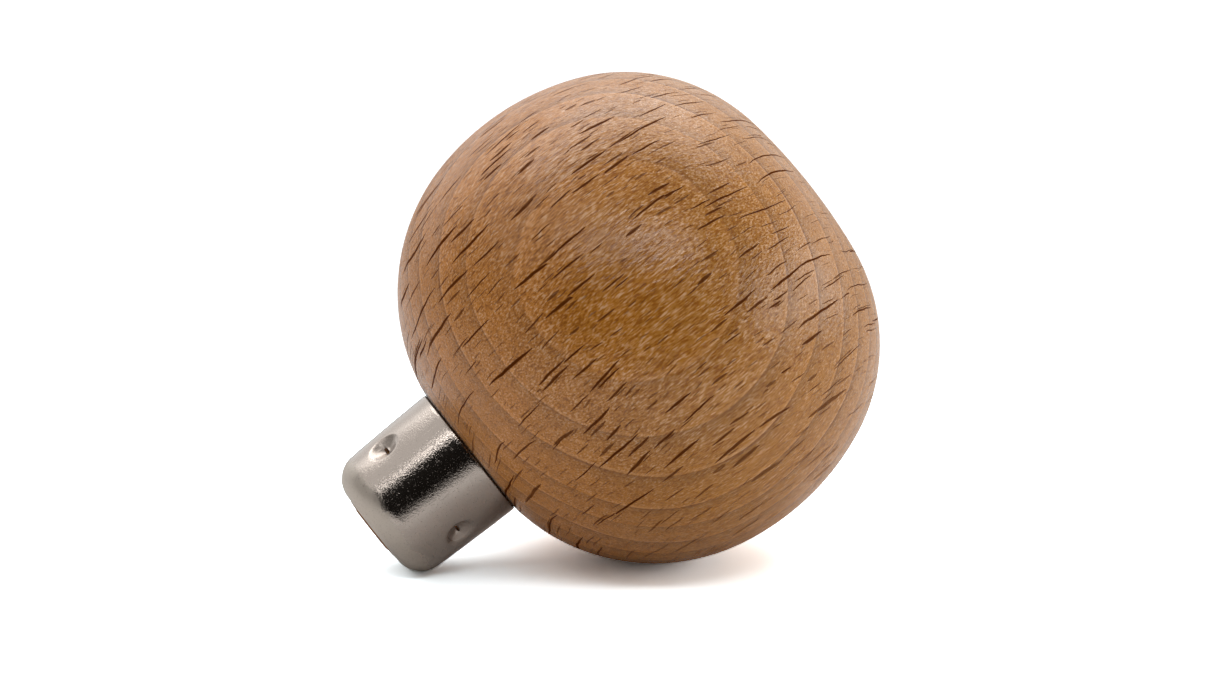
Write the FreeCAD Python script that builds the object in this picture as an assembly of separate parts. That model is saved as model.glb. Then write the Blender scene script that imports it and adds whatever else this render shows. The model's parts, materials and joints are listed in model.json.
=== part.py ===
"""Ball-shaped palm handle for a small carving tool: a turned beech ball whose tenon is held in a steel ferrule.

The ball and the ferrule are turned shapes about one axis, the handle's axis. They are drawn in a handle frame,
whose Z runs from the ferrule's end (Z = 0) to the crown of the ball, and then laid down as the handle comes to
rest on a bench: on the ball and on the rounded nose of the ferrule. In the row frame +Z is up, the bench is Z = 0,
the handle's axis lies in the XZ plane and rises towards +X. All sizes are in millimetres.
"""

import FreeCAD, Part
import os
from math import acos, atan2, cos, degrees, hypot, radians, sin, sqrt, tan

Vector = FreeCAD.Vector

# Ball: four tangent arcs, from the crown down to the seat of the ferrule
BALL_DIAMETER = 48.0
FLANK_RADIUS = 25.2
SHOULDER_RADIUS = 18.0
BASE_RADIUS = 19.6
CROWN_BREAK = radians(8.0)  # angle of the surface normal from the axis, where crown and shoulder meet
SHOULDER_BREAK = radians(67.0)  # the same, where shoulder and flank meet
FLANK_BREAK = radians(103.0)  # the same, where flank and base meet

# Ferrule: a cup drawn from thin sheet, open at the ball, with a round hole in its nose
FERRULE_DIAMETER = 14.0  # at the open rim
FERRULE_LENGTH = 12.0
TAPER = radians(1.5)  # half angle, narrowing towards the nose
WALL = 0.5
NOSE_RADIUS = 2.8
NOSE_HOLE_DIAMETER = 7.6
RIM_ROUND = 0.25
HOLE_ROUND = 0.12

# Three punched dents lock the ferrule to the tenon. Each is (degrees about the axis from the side that faces
# the bench, height). They are hand punched, so neither the spacing nor the height is quite even.
DENTS = ((-54.0, 6.4), (71.0, 6.1), (-164.0, 5.7))
DENT_BALL_RADIUS = 2.4
DENT_DEPTH = 0.7
DENT_EDGE_ROUND = 1.0
PIERCE_DIAMETER = 0.9  # each punch point breaks through the sheet and stops in the wood
PIERCE_DEPTH = 1.2

# Wood inside the ferrule, and the bore for the tool's tang
SEAT_RADIUS = FERRULE_DIAMETER / 2 + 0.1
END_PROUD = 0.25  # the wood stands this far out of the hole in the nose
END_CLEARANCE = 0.05
END_ROUND = 0.5
BORE_DIAMETER = 4.0
BORE_DEPTH = 26.0
BORE_MOUTH = 0.3
DRILL_POINT = radians(118.0)

CLOSE = 0.001  # two lengths this close are the same


def at_angle(centre, radius, angle):
    """The point of a circle (centre as height and radius) where its normal stands at this angle to the axis."""
    height, out = centre
    return height + radius * cos(angle), out + radius * sin(angle)


def stepped_centre(centre, radius, next_radius, angle):
    """The centre of the next arc, which meets the first one tangent at this angle."""
    return at_angle(centre, radius - next_radius, angle)


def ball_arcs():
    """{name: (centre, radius)} of the ball's four arcs, each centre as (height, radius from the axis)."""
    flank_out = BALL_DIAMETER / 2 - FLANK_RADIUS
    base_out = flank_out + (FLANK_RADIUS - BASE_RADIUS) * sin(FLANK_BREAK)
    base_height = FERRULE_LENGTH + sqrt(BASE_RADIUS**2 - (SEAT_RADIUS - base_out) ** 2)
    flank_height = base_height - (FLANK_RADIUS - BASE_RADIUS) * cos(FLANK_BREAK)
    flank = (flank_height, flank_out)
    shoulder = stepped_centre(flank, FLANK_RADIUS, SHOULDER_RADIUS, SHOULDER_BREAK)
    crown_radius = SHOULDER_RADIUS + shoulder[1] / sin(CROWN_BREAK)  # puts the crown's centre on the axis
    crown = stepped_centre(shoulder, SHOULDER_RADIUS, crown_radius, CROWN_BREAK)
    return {
        "crown": ((crown[0], 0.0), crown_radius),
        "shoulder": (shoulder, SHOULDER_RADIUS),
        "flank": (flank, FLANK_RADIUS),
        "base": ((base_height, base_out), BASE_RADIUS),
    }


ARCS = ball_arcs()
CROWN_HEIGHT = ARCS["crown"][0][0] + ARCS["crown"][1]


def skin_radius(height, inset=0.0):
    """The radius of the ferrule's tapered side at this height, inset square to the side by this much."""
    return FERRULE_DIAMETER / 2 - (FERRULE_LENGTH - height) * tan(TAPER) - inset / cos(TAPER)


NOSE_CENTRE = (NOSE_RADIUS, skin_radius(NOSE_RADIUS, NOSE_RADIUS))
SIDE_NORMAL = radians(90) + TAPER


def point(height, out):
    """A point of the XZ half plane of the handle frame."""
    return Vector(out, 0, height)


def line(start, end):
    return Part.LineSegment(point(*start), point(*end)).toShape()


def arc(centre, radius, first, last):
    """An arc in the half plane, between two angles of its normal to the axis."""
    points = [point(*at_angle(centre, radius, a)) for a in (first, (first + last) / 2, last)]
    return Part.Arc(*points).toShape()


def turned(edges):
    """The solid of revolution of a closed outline about the handle's axis."""
    face = Part.Face(Part.Wire(Part.__sortEdges__(edges)))
    solid = face.revolve(Vector(0, 0, 0), Vector(0, 0, 1), 360)
    return solid if solid.Volume > 0 else solid.reversed()


def turned_to(angle, shape):
    """The shape, drawn on the +X side, turned about the handle's axis by an angle in degrees."""
    return shape.rotated(Vector(0, 0, 0), Vector(0, 0, 1), angle)


def dent_balls(radius):
    """One ball for each dent, concentric with its punched hollow."""
    balls = []
    for angle, height in DENTS:
        centre = skin_radius(height) - DENT_DEPTH + DENT_BALL_RADIUS
        balls.append(turned_to(angle, Part.makeSphere(radius, Vector(centre, 0, height))))
    return balls


def punch_points():
    """One cone for each dent, where the punch broke through the sheet. Its tip ends inside the tenon."""
    cones = []
    for angle, height in DENTS:
        tip = skin_radius(height) - DENT_DEPTH - PIERCE_DEPTH
        length = PIERCE_DEPTH + DENT_DEPTH / 2
        mouth_radius = PIERCE_DIAMETER / 2 * length / PIERCE_DEPTH
        cone = Part.makeCone(0, mouth_radius, length, Vector(tip, 0, height), Vector(1, 0, 0))
        cones.append(turned_to(angle, cone))
    return cones


def nose_outline(inset, hole):
    """The drawn cup's skin, inset by this much, from the hole's edge in the nose to the start of its side."""
    flat = line((inset, hole), (inset, NOSE_CENTRE[1]))
    return [flat, arc(NOSE_CENTRE, NOSE_RADIUS - inset, radians(180), SIDE_NORMAL)]


def side_start(inset):
    """Where the nose's arc meets the tapered side."""
    return at_angle(NOSE_CENTRE, NOSE_RADIUS - inset, SIDE_NORMAL)


def ferrule():
    """The nickel-plated steel ferrule, with its punched dents."""
    hole = NOSE_HOLE_DIAMETER / 2
    round_centre = (FERRULE_LENGTH - RIM_ROUND, skin_radius(FERRULE_LENGTH - RIM_ROUND, RIM_ROUND))
    inner_rim = (FERRULE_LENGTH, skin_radius(FERRULE_LENGTH, WALL))
    edges = nose_outline(0, hole + HOLE_ROUND)
    edges.append(line(side_start(0), at_angle(round_centre, RIM_ROUND, SIDE_NORMAL)))
    edges.append(arc(round_centre, RIM_ROUND, SIDE_NORMAL, 0))
    edges.append(line((FERRULE_LENGTH, round_centre[1]), inner_rim))
    edges.append(line(inner_rim, side_start(WALL)))
    edges += nose_outline(WALL, hole)
    edges.append(line((WALL, hole), (HOLE_ROUND, hole)))
    edges.append(arc((HOLE_ROUND, hole + HOLE_ROUND), HOLE_ROUND, radians(270), radians(180)))
    core = Part.makeCylinder(FERRULE_DIAMETER / 2 - WALL, FERRULE_LENGTH)
    bulges = [ball.common(core) for ball in dent_balls(DENT_BALL_RADIUS + WALL)]
    cup = turned(edges).fuse(bulges).cut(dent_balls(DENT_BALL_RADIUS)).removeSplitter()
    return with_rounded_dents(cup).cut(punch_points())


def with_rounded_dents(cup):
    """The ferrule with the edge of each dent's hollow rounded where it meets the outside."""
    rims = []
    for edge in cup.Edges:
        if edge.Degenerated or edge.Curve.TypeId != "Part::GeomBSplineCurve":
            continue
        if all(abs(hypot(p.x, p.y) - skin_radius(p.z)) < CLOSE for p in edge.discretize(9)):
            rims.append(edge)
    return cup.makeFillet(DENT_EDGE_ROUND, rims)


def tang_bore():
    """The drilled hole for the tool's tang, with its drill point and a broken edge at the mouth."""
    radius = BORE_DIAMETER / 2
    mouth = -END_PROUD
    bottom = mouth + BORE_DEPTH
    tip = bottom + radius / sin(DRILL_POINT / 2) * cos(DRILL_POINT / 2)
    corners = [
        (mouth, 0),
        (mouth, radius + BORE_MOUTH),
        (mouth + BORE_MOUTH, radius),
        (bottom, radius),
        (tip, 0),
        (mouth, 0),
    ]
    return turned([line(a, b) for a, b in zip(corners, corners[1:])])


def ball_handle():
    """The beech ball and its tenon, turned from one piece, with the tang bore and the marks of the dents."""
    end = NOSE_HOLE_DIAMETER / 2 - END_CLEARANCE
    end_centre = (END_ROUND - END_PROUD, end - END_ROUND)
    seat_inner = (FERRULE_LENGTH, skin_radius(FERRULE_LENGTH, WALL))
    edges = [line((-END_PROUD, 0), (-END_PROUD, end_centre[1]))]
    edges.append(arc(end_centre, END_ROUND, radians(180), radians(90)))
    edges.append(line((end_centre[0], end), (WALL, end)))
    edges += nose_outline(WALL, end)
    edges.append(line(side_start(WALL), seat_inner))
    edges.append(line(seat_inner, (FERRULE_LENGTH, SEAT_RADIUS)))
    base_height, base_out = ARCS["base"][0]
    seat = atan2(SEAT_RADIUS - base_out, FERRULE_LENGTH - base_height)
    breaks = [seat, FLANK_BREAK, SHOULDER_BREAK, CROWN_BREAK, 0.0]
    for name, first, last in zip(("base", "flank", "shoulder", "crown"), breaks, breaks[1:]):
        centre, radius = ARCS[name]
        edges.append(arc(centre, radius, first, last))
    edges.append(line((CROWN_HEIGHT, 0), (-END_PROUD, 0)))
    marks = dent_balls(DENT_BALL_RADIUS + WALL)
    return turned(edges).cut([tang_bore()] + marks + punch_points())


def reach(centre, radius, angle):
    """How far an arc reaches from the handle frame's origin, in the direction at this angle to the axis."""
    return centre[0] * cos(angle) + centre[1] * sin(angle) + radius


def resting_angle():
    """The angle of the handle's axis above the bench, with the ball's base and the ferrule's nose both on it."""
    (base_height, base_out), base_radius = ARCS["base"]
    along = base_height - NOSE_CENTRE[0]
    across = base_out - NOSE_CENTRE[1]
    drop = base_radius - NOSE_RADIUS
    downward = acos(-drop / hypot(along, across)) + atan2(across, along)
    return downward - radians(90)


def laid_down(shape):
    """The shape on the bench, with the middle of the handle's footprint at the origin."""
    rest = resting_angle()
    height = reach(*ARCS["base"], radians(90) + rest)
    front = reach(*ARCS["shoulder"], rest)
    back = reach(NOSE_CENTRE, NOSE_RADIUS, radians(180) - rest)
    placed = shape.copy()
    placed.rotate(Vector(0, 0, 0), Vector(0, 1, 0), 90 - degrees(rest))
    placed.translate(Vector((back - front) / 2, 0, height))
    return placed


def main():
    os.makedirs("parts", exist_ok=True)
    pieces = {"ball_handle": ball_handle(), "ferrule": ferrule()}
    for name, shape in pieces.items():
        solid = laid_down(shape).Solids[0]
        solid.exportStep(f"parts/{name}.step")
        box = solid.BoundBox
        size = [round(v, 2) for v in (box.XLength, box.YLength, box.ZLength)]
        print(name, "solids", len(shape.Solids), "valid", solid.isValid(), "volume", round(solid.Volume, 1), size)
    rest = resting_angle()
    mouth = laid_down(Part.Vertex(point(-END_PROUD, 0))).Point
    crown = laid_down(Part.Vertex(point(CROWN_HEIGHT, 0))).Point
    overlap = pieces["ball_handle"].common(pieces["ferrule"]).Volume
    print("resting angle", round(degrees(rest), 3), "length", round(CROWN_HEIGHT + END_PROUD, 2))
    print("bore mouth", [round(v, 4) for v in mouth], "crown", [round(v, 4) for v in crown])
    print("overlap of the two pieces, mm3", round(overlap, 5))


main()
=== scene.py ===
import json
from math import atan2, cos, hypot, pi, radians, sin, sqrt, tan

import bpy
import numpy as np
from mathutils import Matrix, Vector


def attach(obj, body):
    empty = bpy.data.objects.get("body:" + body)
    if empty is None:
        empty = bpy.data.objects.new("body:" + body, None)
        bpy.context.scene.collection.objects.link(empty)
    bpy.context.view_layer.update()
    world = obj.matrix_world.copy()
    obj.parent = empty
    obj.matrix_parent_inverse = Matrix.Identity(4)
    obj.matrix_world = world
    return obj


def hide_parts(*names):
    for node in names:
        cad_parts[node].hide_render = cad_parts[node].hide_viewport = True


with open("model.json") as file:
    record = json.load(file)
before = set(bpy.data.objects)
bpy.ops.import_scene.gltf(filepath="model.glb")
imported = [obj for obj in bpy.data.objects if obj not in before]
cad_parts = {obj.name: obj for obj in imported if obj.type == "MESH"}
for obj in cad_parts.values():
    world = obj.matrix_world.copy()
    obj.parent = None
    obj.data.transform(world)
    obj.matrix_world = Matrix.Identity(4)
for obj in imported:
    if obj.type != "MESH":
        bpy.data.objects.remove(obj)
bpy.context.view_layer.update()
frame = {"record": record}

MM = 0.001

# The turned shapes, in mm, in the handle frame. Z = 0 is the plane of the ferrule's nose, and Z runs along
# the handle's axis to the crown of the ball. An arc's angles are those of its normal to the axis.
BALL_DIAMETER = 48.0
FLANK_RADIUS = 25.2
SHOULDER_RADIUS = 18.0
BASE_RADIUS = 19.6
CROWN_BREAK = radians(8.0)
SHOULDER_BREAK = radians(67.0)
FLANK_BREAK = radians(103.0)
FERRULE_DIAMETER = 14.0
FERRULE_LENGTH = 12.0
TAPER = radians(1.5)
WALL = 0.5
NOSE_RADIUS = 2.8
NOSE_HOLE_RADIUS = 3.8
SEAT_RADIUS = 7.1
END_PROUD = 0.25
BORE_RADIUS = 2.0
BORE_DEPTH = 26.0
BORE_MOUTH = 0.3
DRILL_POINT = radians(118.0)
DENTS = ((-54.0, 6.4), (71.0, 6.1), (-164.0, 5.7))  # degrees about the axis from the bench side, height
DENT_BALL_RADIUS = 2.4
DENT_DEPTH = 0.7
END_ROUND = 0.5
SEAT_ROUND = 0.15
RIM_ROUND = 0.2
HOLE_ROUND = 0.12
FIT_GAP = 0.02  # keeps the tenon's surface clear of the ferrule's, so that they don't flicker
POLE_RADIUS = 0.02  # of an open profile's first and last rows, which a fan of triangles closes

# What hand and machine leave on the pieces, in mm. A size in brackets is (up the axis, about it).
SANDING = 0.03
UNEVEN_DRAW = 0.012
BARREL = 0.04
DENT_SOFT = 0.24
DENT_REACH = radians(60)
DISH_DEPTH = 0.15
DISH_WIDTH = 1.9
PUNCH_DEPTH = 0.22
PUNCH_SIZE = (0.42, 0.7)
SLOT_HALF_LENGTH = 0.62
SLOT_HALF_WIDTH = 0.24
SLOT_PULL = 0.8  # how far the slot's edges close up towards its two points, as a share
SLOT_PULL_HEIGHT = 0.5
SLOT_PULL_HALF = 1.5
SLOT_PULL_FADE = 0.4
LIP_RISE = 0.16
LIP_SIZE = (0.13, 0.42)
LOWER_LIP = 0.3  # of the upper one's rise
NOSE_DOME = 0.05
END_DOME = 0.16

# How finely the meshes are divided: rows in mm apart, columns about the axis
PROFILE_ROW = 0.42
DENT_ROW = 0.1
RIM_ROWS = 10
BALL_COLUMNS = 340
FERRULE_COLUMNS = 460
BUNCH_WIDTH = radians(17)  # the ferrule's columns bunch this closely about each dent
BUNCH_SHARE = 0.62

# The tree that the ball was cut from: the growth rings' normal, and where the pith runs
RING_TURN = radians(-121.0)
RING_TILT = radians(4.0)
PITH_DISTANCE = 75.0
BALL_MIDDLE = 32.0  # height of the point that places in the tree are counted from
FACE_DEPTH = 24.2
RAY_LEAN = 0.12
RING_SPACING = 2.75
FIRST_RING = 2.35

# The dark lenses of ray tissue, in three sizes: their spacing and half their size in mm, both as (across
# the rays, in depth, along the grain), a seed, and their (least strength, what chance adds to it)
BIG_RAYS = (1.95, 13.0, 7.0), (0.145, 7.0, 2.3), 1.7, (0.90, 0.10)
MIDDLE_RAYS = (1.5, 8.0, 4.6), (0.110, 4.2, 1.35), 7.1, (0.68, 0.30)
SMALL_RAYS = (0.9, 4.0, 2.4), (0.060, 2.2, 0.62), 11.9, (0.35, 0.45)

# Colours, linear
DARK_FIBRE = (0.320, 0.102, 0.004, 1.0)
WARM_FIBRE = (0.455, 0.186, 0.024, 1.0)
RED_FIBRE = (0.530, 0.194, 0.020, 1.0)
# A paler wood tone, whitened further as painted sheen for the light that the fibres scatter
PALE_FIBRE_AND_SHEEN = (0.700, 0.400, 0.205, 1.0)
RAY_BROWN = (0.090, 0.019, 0.001, 1.0)
RING_BROWN = (0.200, 0.065, 0.012, 1.0)
END_BROWN = (0.160, 0.070, 0.026, 1.0)
# Near black: dirt and glue in the seam, together with painted shade where the ferrule meets the ball
SEAM_DIRT_AND_SHADE = (0.020, 0.011, 0.006, 1.0)
NICKEL = (0.500, 0.438, 0.390, 1.0)
DULL_NICKEL = (0.400, 0.347, 0.303, 1.0)
# Paler nickel for the nose: a painted reflection of the bright table that the nose reflects
NOSE_REFLECTION_NICKEL = (0.600, 0.537, 0.465, 1.0)

# The table, in metres. The camera sees it in the two SEEN tones, and it lights the object in the two LIT
# ones: the first under the object and the second away from it, with a change between the two distances.
FLOOR_HALF = 2.0
FLOOR_FRONT = 0.26
FLOOR_SEEN = (2.80, 3.12, 3.30, 1.0), (1.10, 1.10, 1.10, 1.0)
FLOOR_SEEN_FADE = 0.035, 0.100
FLOOR_LIT = (0.74, 0.74, 0.74, 1.0), (0.44, 0.43, 0.42, 1.0)
FLOOR_LIT_FADE = 0.070, 0.250

# The room: a direction that is bright or dark, and the angles from it in degrees where that has gone and
# where it is full. It is dark in front, so the middle of the ball is too.
ROOM_DARK = (0.010, 0.009, 0.008, 1.0)
ROOM_WHITE = (0.36, 0.35, 0.34, 1.0)
BACKDROP_WHITE = (1.00, 1.00, 1.00, 1.0)
BACKDROP = (0.15, 0.98, 0.13)
BACKDROP_EDGE = 66, 48
DARK_FRONT = (0.0, -0.95, 0.31)
DARK_FRONT_EDGE = 62, 40

# Each softbox is its name, its azimuth and elevation in degrees, its distance and (width, height) in
# metres, and its radiance.
SOFTBOXES = (
    ("key_softbox", -16.0, 51.0, 0.75, (0.80, 0.08), 4.6),
    ("patch_softbox", 0.0, 50.5, 0.73, (0.34, 0.12), 2.6),
    ("top_softbox", 168.0, 68.0, 0.80, (1.20, 0.40), 1.85),
    ("band_softbox", 166.0, 44.0, 0.80, (0.55, 0.16), 3.0),
    ("left_softbox", -110.0, 50.0, 0.75, (1.00, 0.50), 0.48),
    ("right_softbox", 74.0, 14.0, 0.60, (0.80, 0.32), 2.3),
)

# The camera, in degrees and mm. It aims a little left of and below the middle of the object.
CAMERA_AZIMUTH = -12.8
CAMERA_ELEVATION = 14.24
CAMERA_DISTANCE = 700.0
CAMERA_TARGET_HEIGHT = 22.0
CAMERA_LEFT = 0.44
CAMERA_DOWN = 0.155
VIEW_WIDTH = 117.26


def handle_frame():
    """(origin in mm, X, Y, Z) of the handle frame, from the bore's mount. X points to the bench side."""
    bore = frame["record"]["mounts"][0]
    z = -Vector(bore["axis"]).normalized()
    y = Vector((0, 1, 0))
    x = y.cross(z)
    wall_start = BORE_MOUTH - END_PROUD
    return Vector(bore["pos_m"]) / MM - z * wall_start, x, y, z


ORIGIN, AXIS_X, AXIS_Y, AXIS_Z = handle_frame()


# --- geometry ------------------------------------------------------------------------------------

def on_arc(centre, radius, angle):
    return centre[0] + radius * cos(angle), centre[1] + radius * sin(angle)


def arc_points(centre, radius, first, last, spacing):
    """Points of an arc as (height, radius), from one angle of the normal to another, both ends included."""
    count = max(2, int(abs(last - first) * radius / spacing))
    return [on_arc(centre, radius, a) for a in np.linspace(first, last, count + 1)]


def line_points(start, end, spacing):
    count = max(1, int(hypot(end[0] - start[0], end[1] - start[1]) / spacing))
    return [tuple(np.array(start) + (np.array(end) - start) * k / count) for k in range(count + 1)]


def chain(*runs):
    """Joins runs of points and drops each run's first point, which repeats the end of the run before it."""
    points = list(runs[0])
    for run in runs[1:]:
        points += run[1:]
    return points


def ball_arcs():
    """[(centre, radius, first angle, last angle)] from the ferrule's seat to the crown."""
    flank_out = BALL_DIAMETER / 2 - FLANK_RADIUS
    base_out = flank_out + (FLANK_RADIUS - BASE_RADIUS) * sin(FLANK_BREAK)
    base_height = FERRULE_LENGTH + sqrt(BASE_RADIUS**2 - (SEAT_RADIUS - base_out) ** 2)
    flank = (base_height - (FLANK_RADIUS - BASE_RADIUS) * cos(FLANK_BREAK), flank_out)
    shoulder = on_arc(flank, FLANK_RADIUS - SHOULDER_RADIUS, SHOULDER_BREAK)
    crown_radius = SHOULDER_RADIUS + shoulder[1] / sin(CROWN_BREAK)
    crown = (on_arc(shoulder, SHOULDER_RADIUS - crown_radius, CROWN_BREAK)[0], 0.0)
    seat = atan2(SEAT_RADIUS - base_out, FERRULE_LENGTH - base_height)
    return [
        ((base_height, base_out), BASE_RADIUS, seat, FLANK_BREAK),
        (flank, FLANK_RADIUS, FLANK_BREAK, SHOULDER_BREAK),
        (shoulder, SHOULDER_RADIUS, SHOULDER_BREAK, CROWN_BREAK),
        (crown, crown_radius, CROWN_BREAK, 0.0),
    ]


def skin_radius(height, inset=0.0):
    """The radius of the ferrule's tapered side, inset square to the side by this much."""
    return FERRULE_DIAMETER / 2 - (FERRULE_LENGTH - height) * tan(TAPER) - inset / cos(TAPER)


NOSE_CENTRE = (NOSE_RADIUS, skin_radius(NOSE_RADIUS, NOSE_RADIUS))
SIDE_NORMAL = radians(90) + TAPER


def smooth_min(a, b, soft):
    """The smaller of two arrays, with a rounded change from one to the other."""
    h = np.clip(0.5 + 0.5 * (b - a) / soft, 0, 1)
    return b + (a - b) * h - soft * h * (1 - h)


def dent_drop(height, angle):
    """How far the dents push the ferrule's skin towards the axis, in mm, at arrays of height and angle."""
    drop = np.zeros_like(height)
    for degrees_about, dent_height in DENTS:
        turn = (angle - radians(degrees_about) + pi) % (2 * pi) - pi
        skin = skin_radius(dent_height)
        centre = skin - (DENT_DEPTH - DISH_DEPTH) + DENT_BALL_RADIUS
        inside = DENT_BALL_RADIUS**2 - (height - dent_height) ** 2 - (centre * np.sin(turn)) ** 2
        hollow = centre * np.cos(turn) - np.sqrt(np.maximum(inside, 0))
        surface = smooth_min(np.full_like(height, skin), np.where(inside > 0, hollow, skin + 1), DENT_SOFT)
        near = np.abs(turn) < DENT_REACH
        drop = np.maximum(drop, np.where(near, skin - surface, 0))
        across = skin * turn
        dish = np.exp(-(((height - dent_height) / DISH_WIDTH) ** 2) - (across / DISH_WIDTH) ** 2)
        drop += np.where(near, DISH_DEPTH * dish, 0)
        punch = np.exp(-(((height - dent_height) / PUNCH_SIZE[0]) ** 2) - (across / PUNCH_SIZE[1]) ** 2)
        drop += np.where(near, PUNCH_DEPTH * punch, 0)
    return drop


def bunched_angles(count, centres, width, share):
    """Angles round a turn, with a share of them bunched within a width of each centre."""
    fine = np.linspace(-pi, pi, 7201)
    density = np.ones_like(fine) * (1 - share) / (2 * pi)
    for centre in centres:
        turn = (fine - centre + pi) % (2 * pi) - pi
        bell = np.exp(-((turn / width) ** 4))
        density += share / len(centres) * bell / (bell.sum() * (fine[1] - fine[0]))
    total = np.concatenate([[0], np.cumsum((density[1:] + density[:-1]) / 2)])
    return np.interp(np.arange(count) / count, total / total[-1], fine)


def to_row_frame(points):
    """Points of the handle frame in mm, as points of the row frame in metres."""
    axes = np.array([AXIS_X, AXIS_Y, AXIS_Z])
    return (points @ axes + np.array(ORIGIN)) * MM


def turned_mesh(name, profile, angles, reshape, closed, holes=()):
    """A mesh turned from a profile of (height, radius). reshape changes the height, radius and angle
    arrays. A closed profile is a loop, and an open one starts and ends at the axis. holes are (rows a,
    rows b, columns) to cut between two stretches of a closed profile and line with walls."""
    heights = np.array([p[0] for p in profile])
    radii = np.array([p[1] for p in profile])
    rows, columns = len(profile), len(angles)
    grid_h = np.repeat(heights[:, None], columns, 1)
    grid_r = np.repeat(radii[:, None], columns, 1)
    grid_a = np.repeat(angles[None], rows, 0)
    grid_h, grid_r, grid_a = reshape(grid_h, grid_r, grid_a)
    points = np.stack([grid_r * np.cos(grid_a), grid_r * np.sin(grid_a), grid_h], -1).reshape(-1, 3)
    index = np.arange(rows * columns).reshape(rows, columns)
    cut = set()
    faces = []
    for rows_a, rows_b, cols in holes:
        cut |= {(r, c) for r in range(*rows_a) for c in range(*cols)}
        cut |= {(r, c) for r in range(*rows_b) for c in range(*cols)}
        faces += hole_walls(index, rows_a, rows_b, cols)
    last = rows if closed else rows - 1
    for r in range(last):
        below, above = index[r], index[(r + 1) % rows]
        for c in range(columns):
            if (r, c) not in cut:
                d = (c + 1) % columns
                faces.append((below[c], below[d], above[d], above[c]))
    if not closed:
        points, faces = with_poles(points, faces, index)
    mesh = bpy.data.meshes.new(name)
    mesh.from_pydata(to_row_frame(points).tolist(), [], [tuple(int(i) for i in f) for f in faces])
    mesh.polygons.foreach_set("use_smooth", [True] * len(mesh.polygons))
    mesh.update()
    body = bpy.data.objects.new(name, mesh)
    bpy.context.scene.collection.objects.link(body)
    return body


def hole_walls(index, rows_a, rows_b, cols):
    """Quads round a rectangular hole, from the outer skin's edge to the inner skin's. Rows b run the other
    way."""
    (a0, a1), (_, b1), (c0, c1) = rows_a, rows_b, cols
    outer = [(a0, c) for c in range(c0, c1)] + [(r, c1) for r in range(a0, a1)]
    outer += [(a1, c) for c in range(c1, c0, -1)] + [(r, c0) for r in range(a1, a0, -1)]
    inner = [(b1 - (r - a0), c) for r, c in outer]
    walls = []
    for k in range(len(outer)):
        n = (k + 1) % len(outer)
        walls.append((index[outer[k]], index[inner[k]], index[inner[n]], index[outer[n]]))
    return walls


def with_poles(points, faces, index):
    """Closes the first and last rows of an open profile with fans of triangles to the axis."""
    columns = index.shape[1]
    for row, flip in ((0, True), (index.shape[0] - 1, False)):
        pole = len(points)
        points = np.vstack([points, points[index[row]].mean(0)])
        for c in range(columns):
            a, b = index[row][c], index[row][(c + 1) % columns]
            faces.append((b, a, pole) if flip else (a, b, pole))
    return points, faces


def ball_profile():
    """(height, radius) from the bottom of the bore, round the tenon and the ball, to the crown."""
    gap = FIT_GAP
    hole = NOSE_HOLE_RADIUS - 2 * gap
    tip = BORE_DEPTH - END_PROUD + BORE_RADIUS / tan(DRILL_POINT / 2)
    bore_end = (BORE_DEPTH - END_PROUD, BORE_RADIUS)
    bore = [(tip, POLE_RADIUS), bore_end, (BORE_MOUTH - END_PROUD, BORE_RADIUS)]
    mouth = line_points(bore[-1], (-END_PROUD, BORE_RADIUS + BORE_MOUTH), 0.15)
    end_round = (END_ROUND - END_PROUD, hole - END_ROUND)
    face = line_points(mouth[-1], (-END_PROUD, end_round[1]), 0.25)
    rounded = arc_points(end_round, END_ROUND, pi, pi / 2, 0.1)
    floor = WALL + gap
    neck = line_points(rounded[-1], (floor, hole), 0.1)
    shelf = line_points(neck[-1], (floor, NOSE_CENTRE[1]), 0.5)
    nose = arc_points(NOSE_CENTRE, NOSE_RADIUS - floor, pi, SIDE_NORMAL, 0.3)
    tenon = line_points(nose[-1], (FERRULE_LENGTH, skin_radius(FERRULE_LENGTH, floor)), 0.14)
    seat = line_points(tenon[-1], (FERRULE_LENGTH, SEAT_RADIUS - SEAT_ROUND), 0.2)
    arcs = [arc_points(*arc, PROFILE_ROW) for arc in ball_arcs()]
    arcs[-1][-1] = (arcs[-1][-1][0], POLE_RADIUS)
    return chain(bore, mouth, face, rounded, neck, shelf, nose, tenon, seat + [seat[-1]], *arcs)


def uneven_ball(height, radius, angle):
    """The tenon's dent marks and domed end, and the slight unevenness that sanding leaves on the ball."""
    marks = np.where(radius > BORE_RADIUS + 1, dent_drop(height, angle), 0)
    doming = END_DOME * (radius / NOSE_HOLE_RADIUS) ** 2 * (height < END_ROUND - END_PROUD)
    slow = 0.6 * np.sin(2 * angle + 1.3) + 0.4 * np.sin(3 * angle + 0.21 * height)
    sanding = SANDING * slow * np.clip((height - FERRULE_LENGTH) / 6, 0, 1) * np.clip(radius / 8, 0, 1)
    return height + doming * (radius > BORE_RADIUS + BORE_MOUTH), radius - marks + sanding, angle


def make_ball():
    angles = np.linspace(-pi, pi, BALL_COLUMNS, endpoint=False)
    ball = turned_mesh("ball_wood", ball_profile(), angles, uneven_ball, closed=False)
    ball.data.set_sharp_from_angle(angle=radians(35))
    return ball


def side_heights():
    """Heights of the rows up the ferrule's side, closest together where the dents are."""
    low, high = NOSE_CENTRE[0] + NOSE_RADIUS * cos(SIDE_NORMAL), FERRULE_LENGTH - RIM_ROUND
    fine = [low + 0.15, high - 2.6]
    below = np.linspace(low, fine[0], 2)
    middle = np.linspace(fine[0], fine[1], int((fine[1] - fine[0]) / DENT_ROW))
    above = np.linspace(fine[1], high, RIM_ROWS)
    return np.concatenate([below[:-1], middle[:-1], above])


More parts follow.
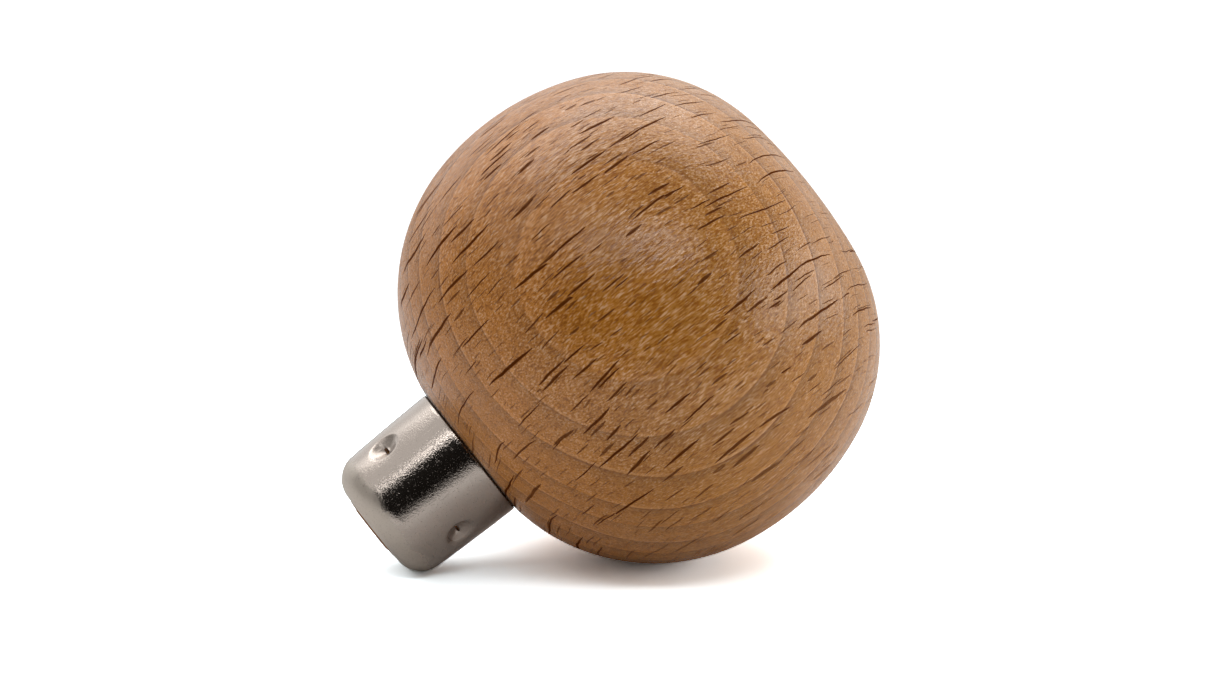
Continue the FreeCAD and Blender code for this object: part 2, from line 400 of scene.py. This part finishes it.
def ferrule_profile():
    """(closed profile, first outer side row, first inner side row, heights of the side rows)."""
    heights = side_heights()
    outside = [(h, skin_radius(h)) for h in heights]
    inside = [(h, skin_radius(h, WALL)) for h in heights[::-1]]
    hole = NOSE_HOLE_RADIUS + HOLE_ROUND
    edge = arc_points((HOLE_ROUND, hole), HOLE_ROUND, -pi / 2, -pi, 0.06)
    nose = arc_points(NOSE_CENTRE, NOSE_RADIUS, pi, SIDE_NORMAL, 0.12)
    flat = line_points(edge[-1], nose[0], 0.25)
    tilt = RIM_ROUND * tan(TAPER)
    rim_out = (FERRULE_LENGTH - RIM_ROUND, outside[-1][1] - RIM_ROUND)
    rim = arc_points(rim_out, RIM_ROUND, SIDE_NORMAL, 0.0, 0.08)
    lip = (FERRULE_LENGTH, inside[0][1] + tilt)
    inner_nose = arc_points(NOSE_CENTRE, NOSE_RADIUS - WALL, SIDE_NORMAL, pi, 0.2)
    start = edge + flat[1:] + nose[1:-1]
    turn = rim[1:] + [lip]
    back = inner_nose[1:] + [(WALL, NOSE_HOLE_RADIUS)]
    profile = start + outside + turn + inside + back
    return profile, len(start), len(start) + len(outside) + len(turn), heights


def slots(heights, angles, outer, inner):
    """The rows and columns that each punch broke through, as turned_mesh cuts them."""
    found = []
    for degrees_about, height in DENTS:
        turn = (angles - radians(degrees_about) + pi) % (2 * pi) - pi
        cols = np.where(np.abs(turn) * skin_radius(height) < SLOT_HALF_LENGTH)[0]
        rows = np.where(np.abs(heights - height) < SLOT_HALF_WIDTH)[0]
        last = len(heights) - 1
        rows_out = (outer + rows[0], outer + rows[-1])
        rows_in = (inner + last - rows[-1], inner + last - rows[0])
        found.append((rows_out, rows_in, (cols[0], cols[-1])))
    return found


def crimped(height, radius, angle):
    """Presses the dents into the ferrule, draws each slot to two points and bends up its edges, most of all
    on the ball's side. The side swells slightly, and the nose is slightly domed."""
    rise = np.clip((height - NOSE_RADIUS) / (FERRULE_LENGTH - NOSE_RADIUS), 0, 1)
    swell = BARREL * 4 * rise * (1 - rise)
    wavy = UNEVEN_DRAW * np.sin(3 * angle + 0.8) * np.clip(height / NOSE_RADIUS, 0, 1)
    lifted = np.zeros_like(height)
    moved = height.copy()
    for degrees_about, dent_height in DENTS:
        turn = (angle - radians(degrees_about) + pi) % (2 * pi) - pi
        across = skin_radius(dent_height) * turn
        up = height - dent_height
        near = np.exp(-((up / SLOT_PULL_HEIGHT) ** 2)) * (np.abs(across) < SLOT_PULL_HALF)
        lens = np.sqrt(np.clip(1 - (across / SLOT_HALF_LENGTH) ** 2, 0, 1))
        beyond = (np.abs(across) - SLOT_PULL_FADE).clip(0) / SLOT_PULL_FADE
        moved -= up * near * (1 - lens) * SLOT_PULL * np.exp(-(beyond**2))
        edge = np.exp(-(((up - SLOT_HALF_WIDTH) / LIP_SIZE[0]) ** 2) - (across / LIP_SIZE[1]) ** 2)
        lifted += np.where(up > 0, 1, LOWER_LIP) * LIP_RISE * edge
    inward = np.clip((SEAT_RADIUS - radius) / (SEAT_RADIUS - NOSE_HOLE_RADIUS), 0, 1)
    moved -= NOSE_DOME * inward * (height < WALL)
    return moved, radius + swell + wavy + lifted - dent_drop(height, angle), angle


def make_ferrule():
    profile, outer, inner, heights = ferrule_profile()
    centres = [radians(degrees_about) for degrees_about, _ in DENTS]
    angles = bunched_angles(FERRULE_COLUMNS, centres, BUNCH_WIDTH, BUNCH_SHARE)
    holes = slots(heights, angles, outer, inner)
    ferrule = turned_mesh("ferrule_shell", profile, angles, crimped, closed=True, holes=holes)
    ferrule.data.set_sharp_from_angle(angle=radians(50))
    return ferrule


# --- materials -----------------------------------------------------------------------------------

class Value:
    """A node's output that works in sums: each sum adds a Math node."""

    def __init__(self, graph, socket):
        self.graph = graph
        self.socket = socket

    def math(self, operation, *others, clamp=False):
        inputs = dict(enumerate((self, *others)))
        node = self.graph.add("ShaderNodeMath", inputs, operation=operation, use_clamp=clamp)
        return Value(self.graph, node.outputs[0])

    def __add__(self, other):
        return self.math("ADD", other)

    def __sub__(self, other):
        return self.math("SUBTRACT", other)

    def __rsub__(self, other):
        return (self * -1.0) + other

    def __mul__(self, other):
        return self.math("MULTIPLY", other)

    def __truediv__(self, other):
        return self.math("DIVIDE", other)

    def __pow__(self, other):
        return self.math("POWER", other)

    def square(self):
        return self * self

    def clamped(self):
        return self.math("ADD", 0.0, clamp=True)

    def fade(self, low, high):
        """0 below low and 1 above high, or the other way where low is the larger, with a smooth change."""
        inputs = {"Value": self, "From Min": low, "From Max": high, "To Min": 0.0, "To Max": 1.0}
        node = self.graph.add("ShaderNodeMapRange", inputs, interpolation_type="SMOOTHSTEP")
        return Value(self.graph, node.outputs["Result"])

    __radd__ = __add__
    __rmul__ = __mul__


class Graph:
    """A material's or the world's nodes, and short calls that add and wire them. Its lengths are in mm."""

    def __init__(self, name, owner=None):
        self.material = owner or bpy.data.materials.new(name)
        self.material.use_nodes = True
        self.tree = self.material.node_tree
        self.tree.nodes.clear()

    def add(self, kind, inputs, **settings):
        node = self.tree.nodes.new(kind)
        for key, value in settings.items():
            setattr(node, key, value)
        for key, value in inputs.items():
            value = value.socket if isinstance(value, Value) else value
            if isinstance(value, bpy.types.NodeSocket):
                self.tree.links.new(value, node.inputs[key])
            else:
                node.inputs[key].default_value = value
        return node

    def handle_mm(self):
        """The point in the handle frame, in mm, as (x, y, z)."""
        place = self.add("ShaderNodeTexCoord", {}).outputs["Object"]
        spots = []
        for axis in (AXIS_X, AXIS_Y, AXIS_Z):
            along = self.add("ShaderNodeVectorMath", {0: place, 1: axis / MM}, operation="DOT_PRODUCT")
            spots.append(Value(self, along.outputs["Value"]) - ORIGIN.dot(axis))
        return spots

    def vector(self, x, y, z):
        return self.add("ShaderNodeCombineXYZ", {0: x, 1: y, 2: z}).outputs[0]

    def noise(self, x, y, z, detail=2.0, rough=0.5, seed=0.0):
        """Smooth noise about 0, mostly within -1 to 1, whose blobs are about 1 across in x, y and z."""
        vector = self.vector(x + seed, y, z)
        inputs = {"Vector": vector, "Scale": 1.0, "Detail": detail, "Roughness": rough}
        node = self.add("ShaderNodeTexNoise", inputs, noise_dimensions="3D")
        return (Value(self, node.outputs["Fac"]) - 0.5) * 4.0

    def scattered(self, x, y, z, seed=0.0):
        """The offset (dx, dy, dz) from the nearest of points scattered about 1 apart, and 3 random values
        of that point."""
        vector = self.vector(x + seed, y, z)
        inputs = {"Vector": vector, "Scale": 1.0, "Randomness": 1.0}
        node = self.add("ShaderNodeTexVoronoi", inputs, voronoi_dimensions="3D", feature="F1")
        ends = {0: vector, 1: node.outputs["Position"]}
        offset = self.add("ShaderNodeVectorMath", ends, operation="SUBTRACT")
        return self.split(offset.outputs[0]) + self.split(node.outputs["Color"])

    def split(self, vector):
        node = self.add("ShaderNodeSeparateXYZ", {0: vector})
        return [Value(self, node.outputs[k]) for k in range(3)]

    def mix(self, factor, a, b):
        """Colour a where the factor is 0, and b where it is 1."""
        inputs = {0: factor, 6: a, 7: b}
        return self.add("ShaderNodeMix", inputs, data_type="RGBA").outputs[2]

    def scaled(self, colour, factor):
        node = self.add("ShaderNodeVectorMath", {0: colour, "Scale": factor}, operation="SCALE")
        return node.outputs[0]

    def bump(self, height):
        inputs = {"Height": height, "Distance": MM, "Strength": 1.0}
        return self.add("ShaderNodeBump", inputs).outputs[0]

    def finish(self, inputs):
        shader = self.add("ShaderNodeBsdfPrincipled", inputs)
        self.add("ShaderNodeOutputMaterial", {"Surface": shader.outputs[0]})
        return self.material


def grain_coordinates(g, x, y, z):
    """(across, depth, along): mm across the rays, mm in from the ball's face along the radius of the tree,
    and mm along the grain, with the grain's slow waves. The growth rings are surfaces of equal depth."""
    z = z - BALL_MIDDLE
    turn, tilt = RING_TURN, RING_TILT
    flat = x * cos(turn) + y * sin(turn)
    out = flat * cos(tilt) + z * sin(tilt)
    along = z * cos(tilt) - flat * sin(tilt)
    across = y * cos(turn) - x * sin(turn)
    wave = g.noise(x / 14.0, y / 14.0, z / 22.0, 1.0, seed=3.0)
    drift = g.noise(x / 5.0, y / 5.0, z / 16.0, 1.0, seed=8.0)
    ripple = g.noise(x / 1.5, y / 1.5, z / 1.7, 1.0, seed=14.0)
    across = across + wave * 0.55 + drift * 0.22 + ripple * 0.055
    out = out + g.noise(x / 16.0, y / 16.0, z / 26.0, 1.0, seed=5.0) * 0.35
    from_pith = (across.square() + (out + PITH_DISTANCE).square()) ** 0.5
    around = across / (out + PITH_DISTANCE) * PITH_DISTANCE
    return around, (FACE_DEPTH + PITH_DISTANCE) - from_pith, along


def rays(g, grain, cell, half, seed, strength):
    """The marks of one size of ray tissue, 0 to 1: lenses that are thin across, and long in depth and along
    the grain. They are narrower towards the crown, and no two are equally strong."""
    scaled = [value / size for value, size in zip(grain, cell)]
    dx, dy, dz, first, second, third = g.scattered(*scaled, seed=seed)
    lean = (third - 0.5) * RAY_LEAN
    dx = dx * cell[0] + dz * lean * cell[2]
    long = dz * cell[2] / ((first * 0.9 + 0.45) * half[2])
    deep = dy * cell[1] / half[1]
    reach = (1.0 - long.square() - deep.square()).math("MAXIMUM", 0.0)
    width = (second * 0.7 + 0.6) * half[0] * (1.0 - grain[2].fade(6.0, 17.0) * 0.5)
    thin = dx.math("ABSOLUTE") / (width * (reach ** 0.8) + 0.004)
    least, chance = strength
    return thin.fade(1.3, 0.6) * reach.fade(0.0, 0.12) * (first * chance + least)


def beech():
    """Lacquered beech: growth rings, rays, pores and fibre, with painted sheen on the pale streaks and a
    painted highlight on the ring crests, brown on the tenon's end, and dirt with painted shade in the seam.
    """
    g = Graph("beech")
    x, y, z = g.handle_mm()
    grain = grain_coordinates(g, x, y, z)
    across, depth, along = grain

    ring = (depth - FIRST_RING) / RING_SPACING + g.noise(depth / 5.0, 0.5, 0.5, 1.0, seed=2.0) * 0.16
    season = ring.math("FRACT")
    late = season.fade(0.55, 0.03) * season.fade(0.0, 0.025)
    line = season.fade(0.10, 0.03) * season.fade(0.0, 0.03)
    ring_break = g.noise(across / 6.0, depth / 2.0, along / 12.0, 2.0, seed=21.0).fade(-0.8, 0.8)
    inner = depth.fade(1.0, 8.0) * 0.55 + 0.45
    line = line * ring_break * inner
    crest_and_highlight = season.fade(0.90, 0.97) * ring_break * inner
    early = season.fade(0.80, 0.97)

    marks = rays(g, grain, *BIG_RAYS)
    marks = marks.math("MAXIMUM", rays(g, grain, *MIDDLE_RAYS))
    marks = marks.math("MAXIMUM", rays(g, grain, *SMALL_RAYS))
    marks = marks * (1.0 - across.math("ABSOLUTE").fade(13.0, 22.0) * 0.45)

    pores = g.noise(across / 0.13, depth / 0.16, along / 1.0, 1.0, 0.7, seed=4.0)
    fibre = g.noise(across / 0.8, depth / 0.8, along / 4.2, 2.0, 0.6, seed=6.0)
    fleck = g.noise(across / 0.16, depth / 0.20, along / 0.50, 1.0, 0.7, seed=9.0)
    blotch = g.noise(across / 5.0, depth / 4.0, along / 13.0, 2.0, 0.5, seed=13.0)
    warmth = g.noise(across / 9.0, depth / 7.0, along / 16.0, 1.0, 0.5, seed=17.0)

    streak = pores * 1.9 + fleck * 0.6 + fibre * 0.4
    streak = streak * (1.0 - depth.fade(1.5, 10.0) * 0.33)
    redness = (warmth * 3.0 - across * 0.6 - along * 0.8).fade(-9.0, 13.0)
    middling = g.mix(redness, WARM_FIBRE, RED_FIBRE)
    colour = g.mix(streak.fade(-1.4, 0.2), DARK_FIBRE, middling)
    # Painted sheen: the palest streaks are mixed to a whitish colour, on top of their paler wood
    colour = g.mix(streak.fade(0.0, 2.0), colour, PALE_FIBRE_AND_SHEEN)
    tone = 1.0 + blotch * 0.07 + fibre * 0.06 - late * inner * 0.20 + early * inner * 0.13
    colour = g.scaled(colour, tone)
    # Painted highlight: the raised ring crests are mixed paler, for the light they catch
    colour = g.mix(crest_and_highlight * 0.4, colour, PALE_FIBRE_AND_SHEEN)
    colour = g.mix(line * 0.75, colour, RING_BROWN)
    colour = g.mix(marks, colour, RAY_BROWN)

    outward = (x.square() + y.square()) ** 0.5
    end_grain = z.fade(WALL + 0.2, WALL) * (0.7 + pores * 0.2)
    bore_shade = outward.fade(BORE_RADIUS + 0.5, BORE_RADIUS - 0.1)
    bore_shade = bore_shade * z.fade(BORE_DEPTH + 4.0, BORE_DEPTH + 2.0)
    colour = g.mix(end_grain, colour, END_BROWN)
    colour = g.mix(bore_shade * 0.8, colour, RAY_BROWN)
    # Dirt and painted shade: the wood is darkened nearly to black along the seam with the ferrule
    seam = (z - FERRULE_LENGTH).math("ABSOLUTE").fade(0.26, 0.04)
    colour = g.mix(seam * 0.85, colour, SEAM_DIRT_AND_SHADE)

    height = marks * -0.018 + fleck * 0.005 + pores * 0.004 + line * -0.012 + crest_and_highlight * 0.010 + late * 0.004
    coat_wave = g.noise(x / 2.6, y / 2.6, z / 2.6, 2.0, 0.5, seed=31.0)
    grooves = g.noise(across / 0.25, depth / 0.30, along / 1.3, 1.0, 0.5, seed=37.0)
    coat_height = marks * -0.012 - line * 0.014 + crest_and_highlight * 0.012 + fleck * 0.006
    coat_height = coat_height + grooves * 0.018 + fibre * 0.004 + coat_wave * 0.005
    gloss = 0.25 + g.noise(x / 7.0, y / 7.0, z / 7.0, 2.0, 0.5, seed=41.0) * 0.035 + marks * 0.2
    bare = z.fade(WALL + 0.2, WALL)
    coat = (1.0 - bare) * (1.0 - marks) * (0.85 + grooves * 0.22)
    return g.finish({
        "Base Color": colour,
        "Roughness": 0.6 + pores * 0.04,
        "Specular IOR Level": (1.0 - marks) * 0.06,
        "Normal": g.bump(height),
        "Coat Weight": coat.clamped(),
        "Coat Roughness": gloss,
        "Coat IOR": 1.6,
        "Coat Normal": g.bump(coat_height),
    })


def punched_marks(g, x, y, z):
    """1 in the middle of each dent and 0 away from them."""
    marks = []
    for degrees_about, dent_height in DENTS:
        skin = skin_radius(dent_height)
        dent_x = skin * cos(radians(degrees_about))
        dent_y = skin * sin(radians(degrees_about))
        away = ((x - dent_x).square() + (y - dent_y).square() + (z - dent_height).square()) ** 0.5
        marks.append(away.fade(1.8, 0.9))
    found = marks[0]
    for mark in marks[1:]:
        found = found.math("MAXIMUM", mark)
    return found


def nickel():
    """Satin nickel plate on drawn steel: fine grain, trimming lines at the rim, a few scratches, a duller
    nose and dents, a nose painted paler as a reflection of the bright table, and dirt with painted shade on
    the rim at the seam."""
    g = Graph("nickel_plated_steel")
    x, y, z = g.handle_mm()
    radius = (x.square() + y.square()) ** 0.5
    angle = y.math("ARCTAN2", x)
    around = angle * FERRULE_DIAMETER / 2

    frost = g.noise(x / 0.20, y / 0.20, z / 0.20, 2.0, 0.8, seed=1.0)
    peel = g.noise(x / 0.6, y / 0.6, z / 0.6, 2.0, 0.5, seed=5.0)
    slow = g.noise(x / 4.0, y / 4.0, z / 4.0, 1.0, 0.5, seed=9.0)
    trim = g.noise(z / 0.07, around / 30.0, 0.5, 2.0, 0.6, seed=3.0) * z.fade(10.6, 11.4)
    drawn = g.noise(around / 0.05, z / 5.0, 0.5, 1.0, 0.5, seed=15.0)
    sx, sy, _, pick, lean, _ = g.scattered(around / 1.1, z / 2.3, radius / 20.0, seed=6.0)
    slant = sx * 1.1 + sy * (lean - 0.5) * 0.9
    scratch = slant.math("ABSOLUTE").fade(0.016, 0.004) * sy.math("ABSOLUTE").fade(0.42, 0.3)
    scratch = scratch * pick.fade(0.6, 0.62)
    tarnish = g.noise(x / 1.7, y / 1.7, z / 1.7, 3.0, 0.6, seed=25.0).fade(0.2, 1.6)

    speck = g.noise(x / 0.15, y / 0.15, z / 0.15, 1.0, 0.5, seed=33.0).fade(0.45, 0.85)
    bend = (z + peel * 0.4 + slow * 0.3).fade(2.6, 1.5)
    punched = punched_marks(g, x, y, z)
    colour = g.mix(tarnish * 0.35, NICKEL, DULL_NICKEL)
    # Painted reflection: towards the nose the colour turns paler, for the bright table it reflects; it is
    # also rougher there
    colour = g.mix(bend * 0.7, colour, NOSE_REFLECTION_NICKEL)
    colour = g.scaled(colour, 1.0 + frost * 0.03 + slow * 0.03 - speck * 0.12)
    # Dirt and painted shade: the ferrule's rim at the seam is darkened nearly to black
    rim = z.fade(FERRULE_LENGTH - 0.15, FERRULE_LENGTH)
    colour = g.mix(rim * 0.8, colour, SEAM_DIRT_AND_SHADE)
    height = frost * 0.0048 + peel * 0.0012 + trim * 0.0007 + drawn * 0.00006 - scratch * 0.0025
    rough = 0.13 + tarnish * 0.10 + bend * 0.30 + speck * 0.20 + punched * 0.20 + slow * 0.02
    return g.finish({
        "Base Color": colour,
        "Metallic": 1.0,
        "Roughness": rough.clamped(),
        "Normal": g.bump(height),
    })


# --- stage, lights and camera --------------------------------------------------------------------

def facing(azimuth, elevation):
    """The direction from the object to a camera at these angles, in degrees."""
    turn, rise = radians(azimuth), radians(elevation)
    return Vector((sin(turn) * cos(rise), -cos(turn) * cos(rise), sin(rise)))


def make_floor():
    """A white table. It is overexposed for the camera alone, as a product picture's background is."""
    mesh = bpy.data.meshes.new("floor")
    corners = [(-FLOOR_HALF, -FLOOR_FRONT, 0), (FLOOR_HALF, -FLOOR_FRONT, 0)]
    corners += [(FLOOR_HALF, FLOOR_HALF, 0), (-FLOOR_HALF, FLOOR_HALF, 0)]
    mesh.from_pydata(corners, [], [(0, 1, 2, 3)])
    floor = bpy.data.objects.new("floor", mesh)
    bpy.context.scene.collection.objects.link(floor)
    g = Graph("white_table")
    seen = Value(g, g.add("ShaderNodeLightPath", {}).outputs["Is Camera Ray"])
    place = g.add("ShaderNodeTexCoord", {}).outputs["Object"]
    away = Value(g, g.add("ShaderNodeVectorMath", {0: place}, operation="LENGTH").outputs["Value"])
    shown = g.mix(away.fade(*FLOOR_SEEN_FADE), *FLOOR_SEEN)
    lit = g.mix(away.fade(*FLOOR_LIT_FADE), *FLOOR_LIT)
    colour = g.mix(seen, lit, shown)
    shader = g.add("ShaderNodeBsdfDiffuse", {"Color": colour})
    g.add("ShaderNodeOutputMaterial", {"Surface": shader.outputs[0]})
    mesh.materials.append(g.material)


def softbox(name, azimuth, elevation, distance, size, radiance):
    """A rectangular area light that faces the object from this direction."""
    lamp = bpy.data.lights.new(name, "AREA")
    lamp.shape = "RECTANGLE"
    lamp.size, lamp.size_y = size
    lamp.energy = radiance * pi * size[0] * size[1]
    box = bpy.data.objects.new(name, lamp)
    direction = facing(azimuth, elevation)
    box.location = direction * distance
    box.rotation_euler = (-direction).to_track_quat("-Z", "Y").to_euler()
    box.visible_camera = False
    bpy.context.scene.collection.objects.link(box)


def towards(g, direction, middle, edge):
    """1 in the directions near the middle one, and 0 past the edge's angles."""
    facing_it = g.add("ShaderNodeVectorMath", {0: direction, 1: middle}, operation="DOT_PRODUCT")
    gone, full = edge
    return Value(g, facing_it.outputs["Value"]).fade(cos(radians(gone)), cos(radians(full)))


def light_studio():
    for lamp in SOFTBOXES:
        softbox(*lamp)
    world = bpy.data.worlds.new("studio")
    g = Graph("studio", world)
    direction = g.add("ShaderNodeTexCoord", {}).outputs["Generated"]
    dark = towards(g, direction, DARK_FRONT, DARK_FRONT_EDGE)
    lit = towards(g, direction, BACKDROP, BACKDROP_EDGE)
    room = g.mix(dark, g.mix(lit, ROOM_WHITE, BACKDROP_WHITE), ROOM_DARK)
    seen = g.add("ShaderNodeLightPath", {}).outputs["Is Camera Ray"]
    shown = g.mix(seen, room, (1.0, 1.0, 1.0, 1.0))
    background = g.add("ShaderNodeBackground", {"Color": shown})
    g.add("ShaderNodeOutputWorld", {"Surface": background.outputs[0]})
    bpy.context.scene.world = world
    bpy.context.scene.view_settings.view_transform = "Standard"


def place_camera():
    direction = facing(CAMERA_AZIMUTH, CAMERA_ELEVATION)
    right = Vector((cos(radians(CAMERA_AZIMUTH)), sin(radians(CAMERA_AZIMUTH)), 0))
    up = direction.cross(right)
    aim = (Vector((0.0, 0.0, CAMERA_TARGET_HEIGHT)) - right * CAMERA_LEFT - up * CAMERA_DOWN) * MM
    camera = bpy.data.cameras.new("camera")
    camera.sensor_width = 36.0
    camera.lens = camera.sensor_width * CAMERA_DISTANCE / VIEW_WIDTH
    camera.clip_start = 0.01
    placed = bpy.data.objects.new("camera", camera)
    placed.location = aim + direction * CAMERA_DISTANCE * MM
    placed.rotation_euler = (-direction).to_track_quat("-Z", "Y").to_euler()
    bpy.context.scene.collection.objects.link(placed)
    bpy.context.scene.camera = placed


def fit_piece(piece, material, node):
    piece.data.materials.append(material)
    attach(piece, "root")
    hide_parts(node)


place_camera()
light_studio()
make_floor()
fit_piece(make_ball(), beech(), "ball_handle")
fit_piece(make_ferrule(), nickel(), "ferrule")
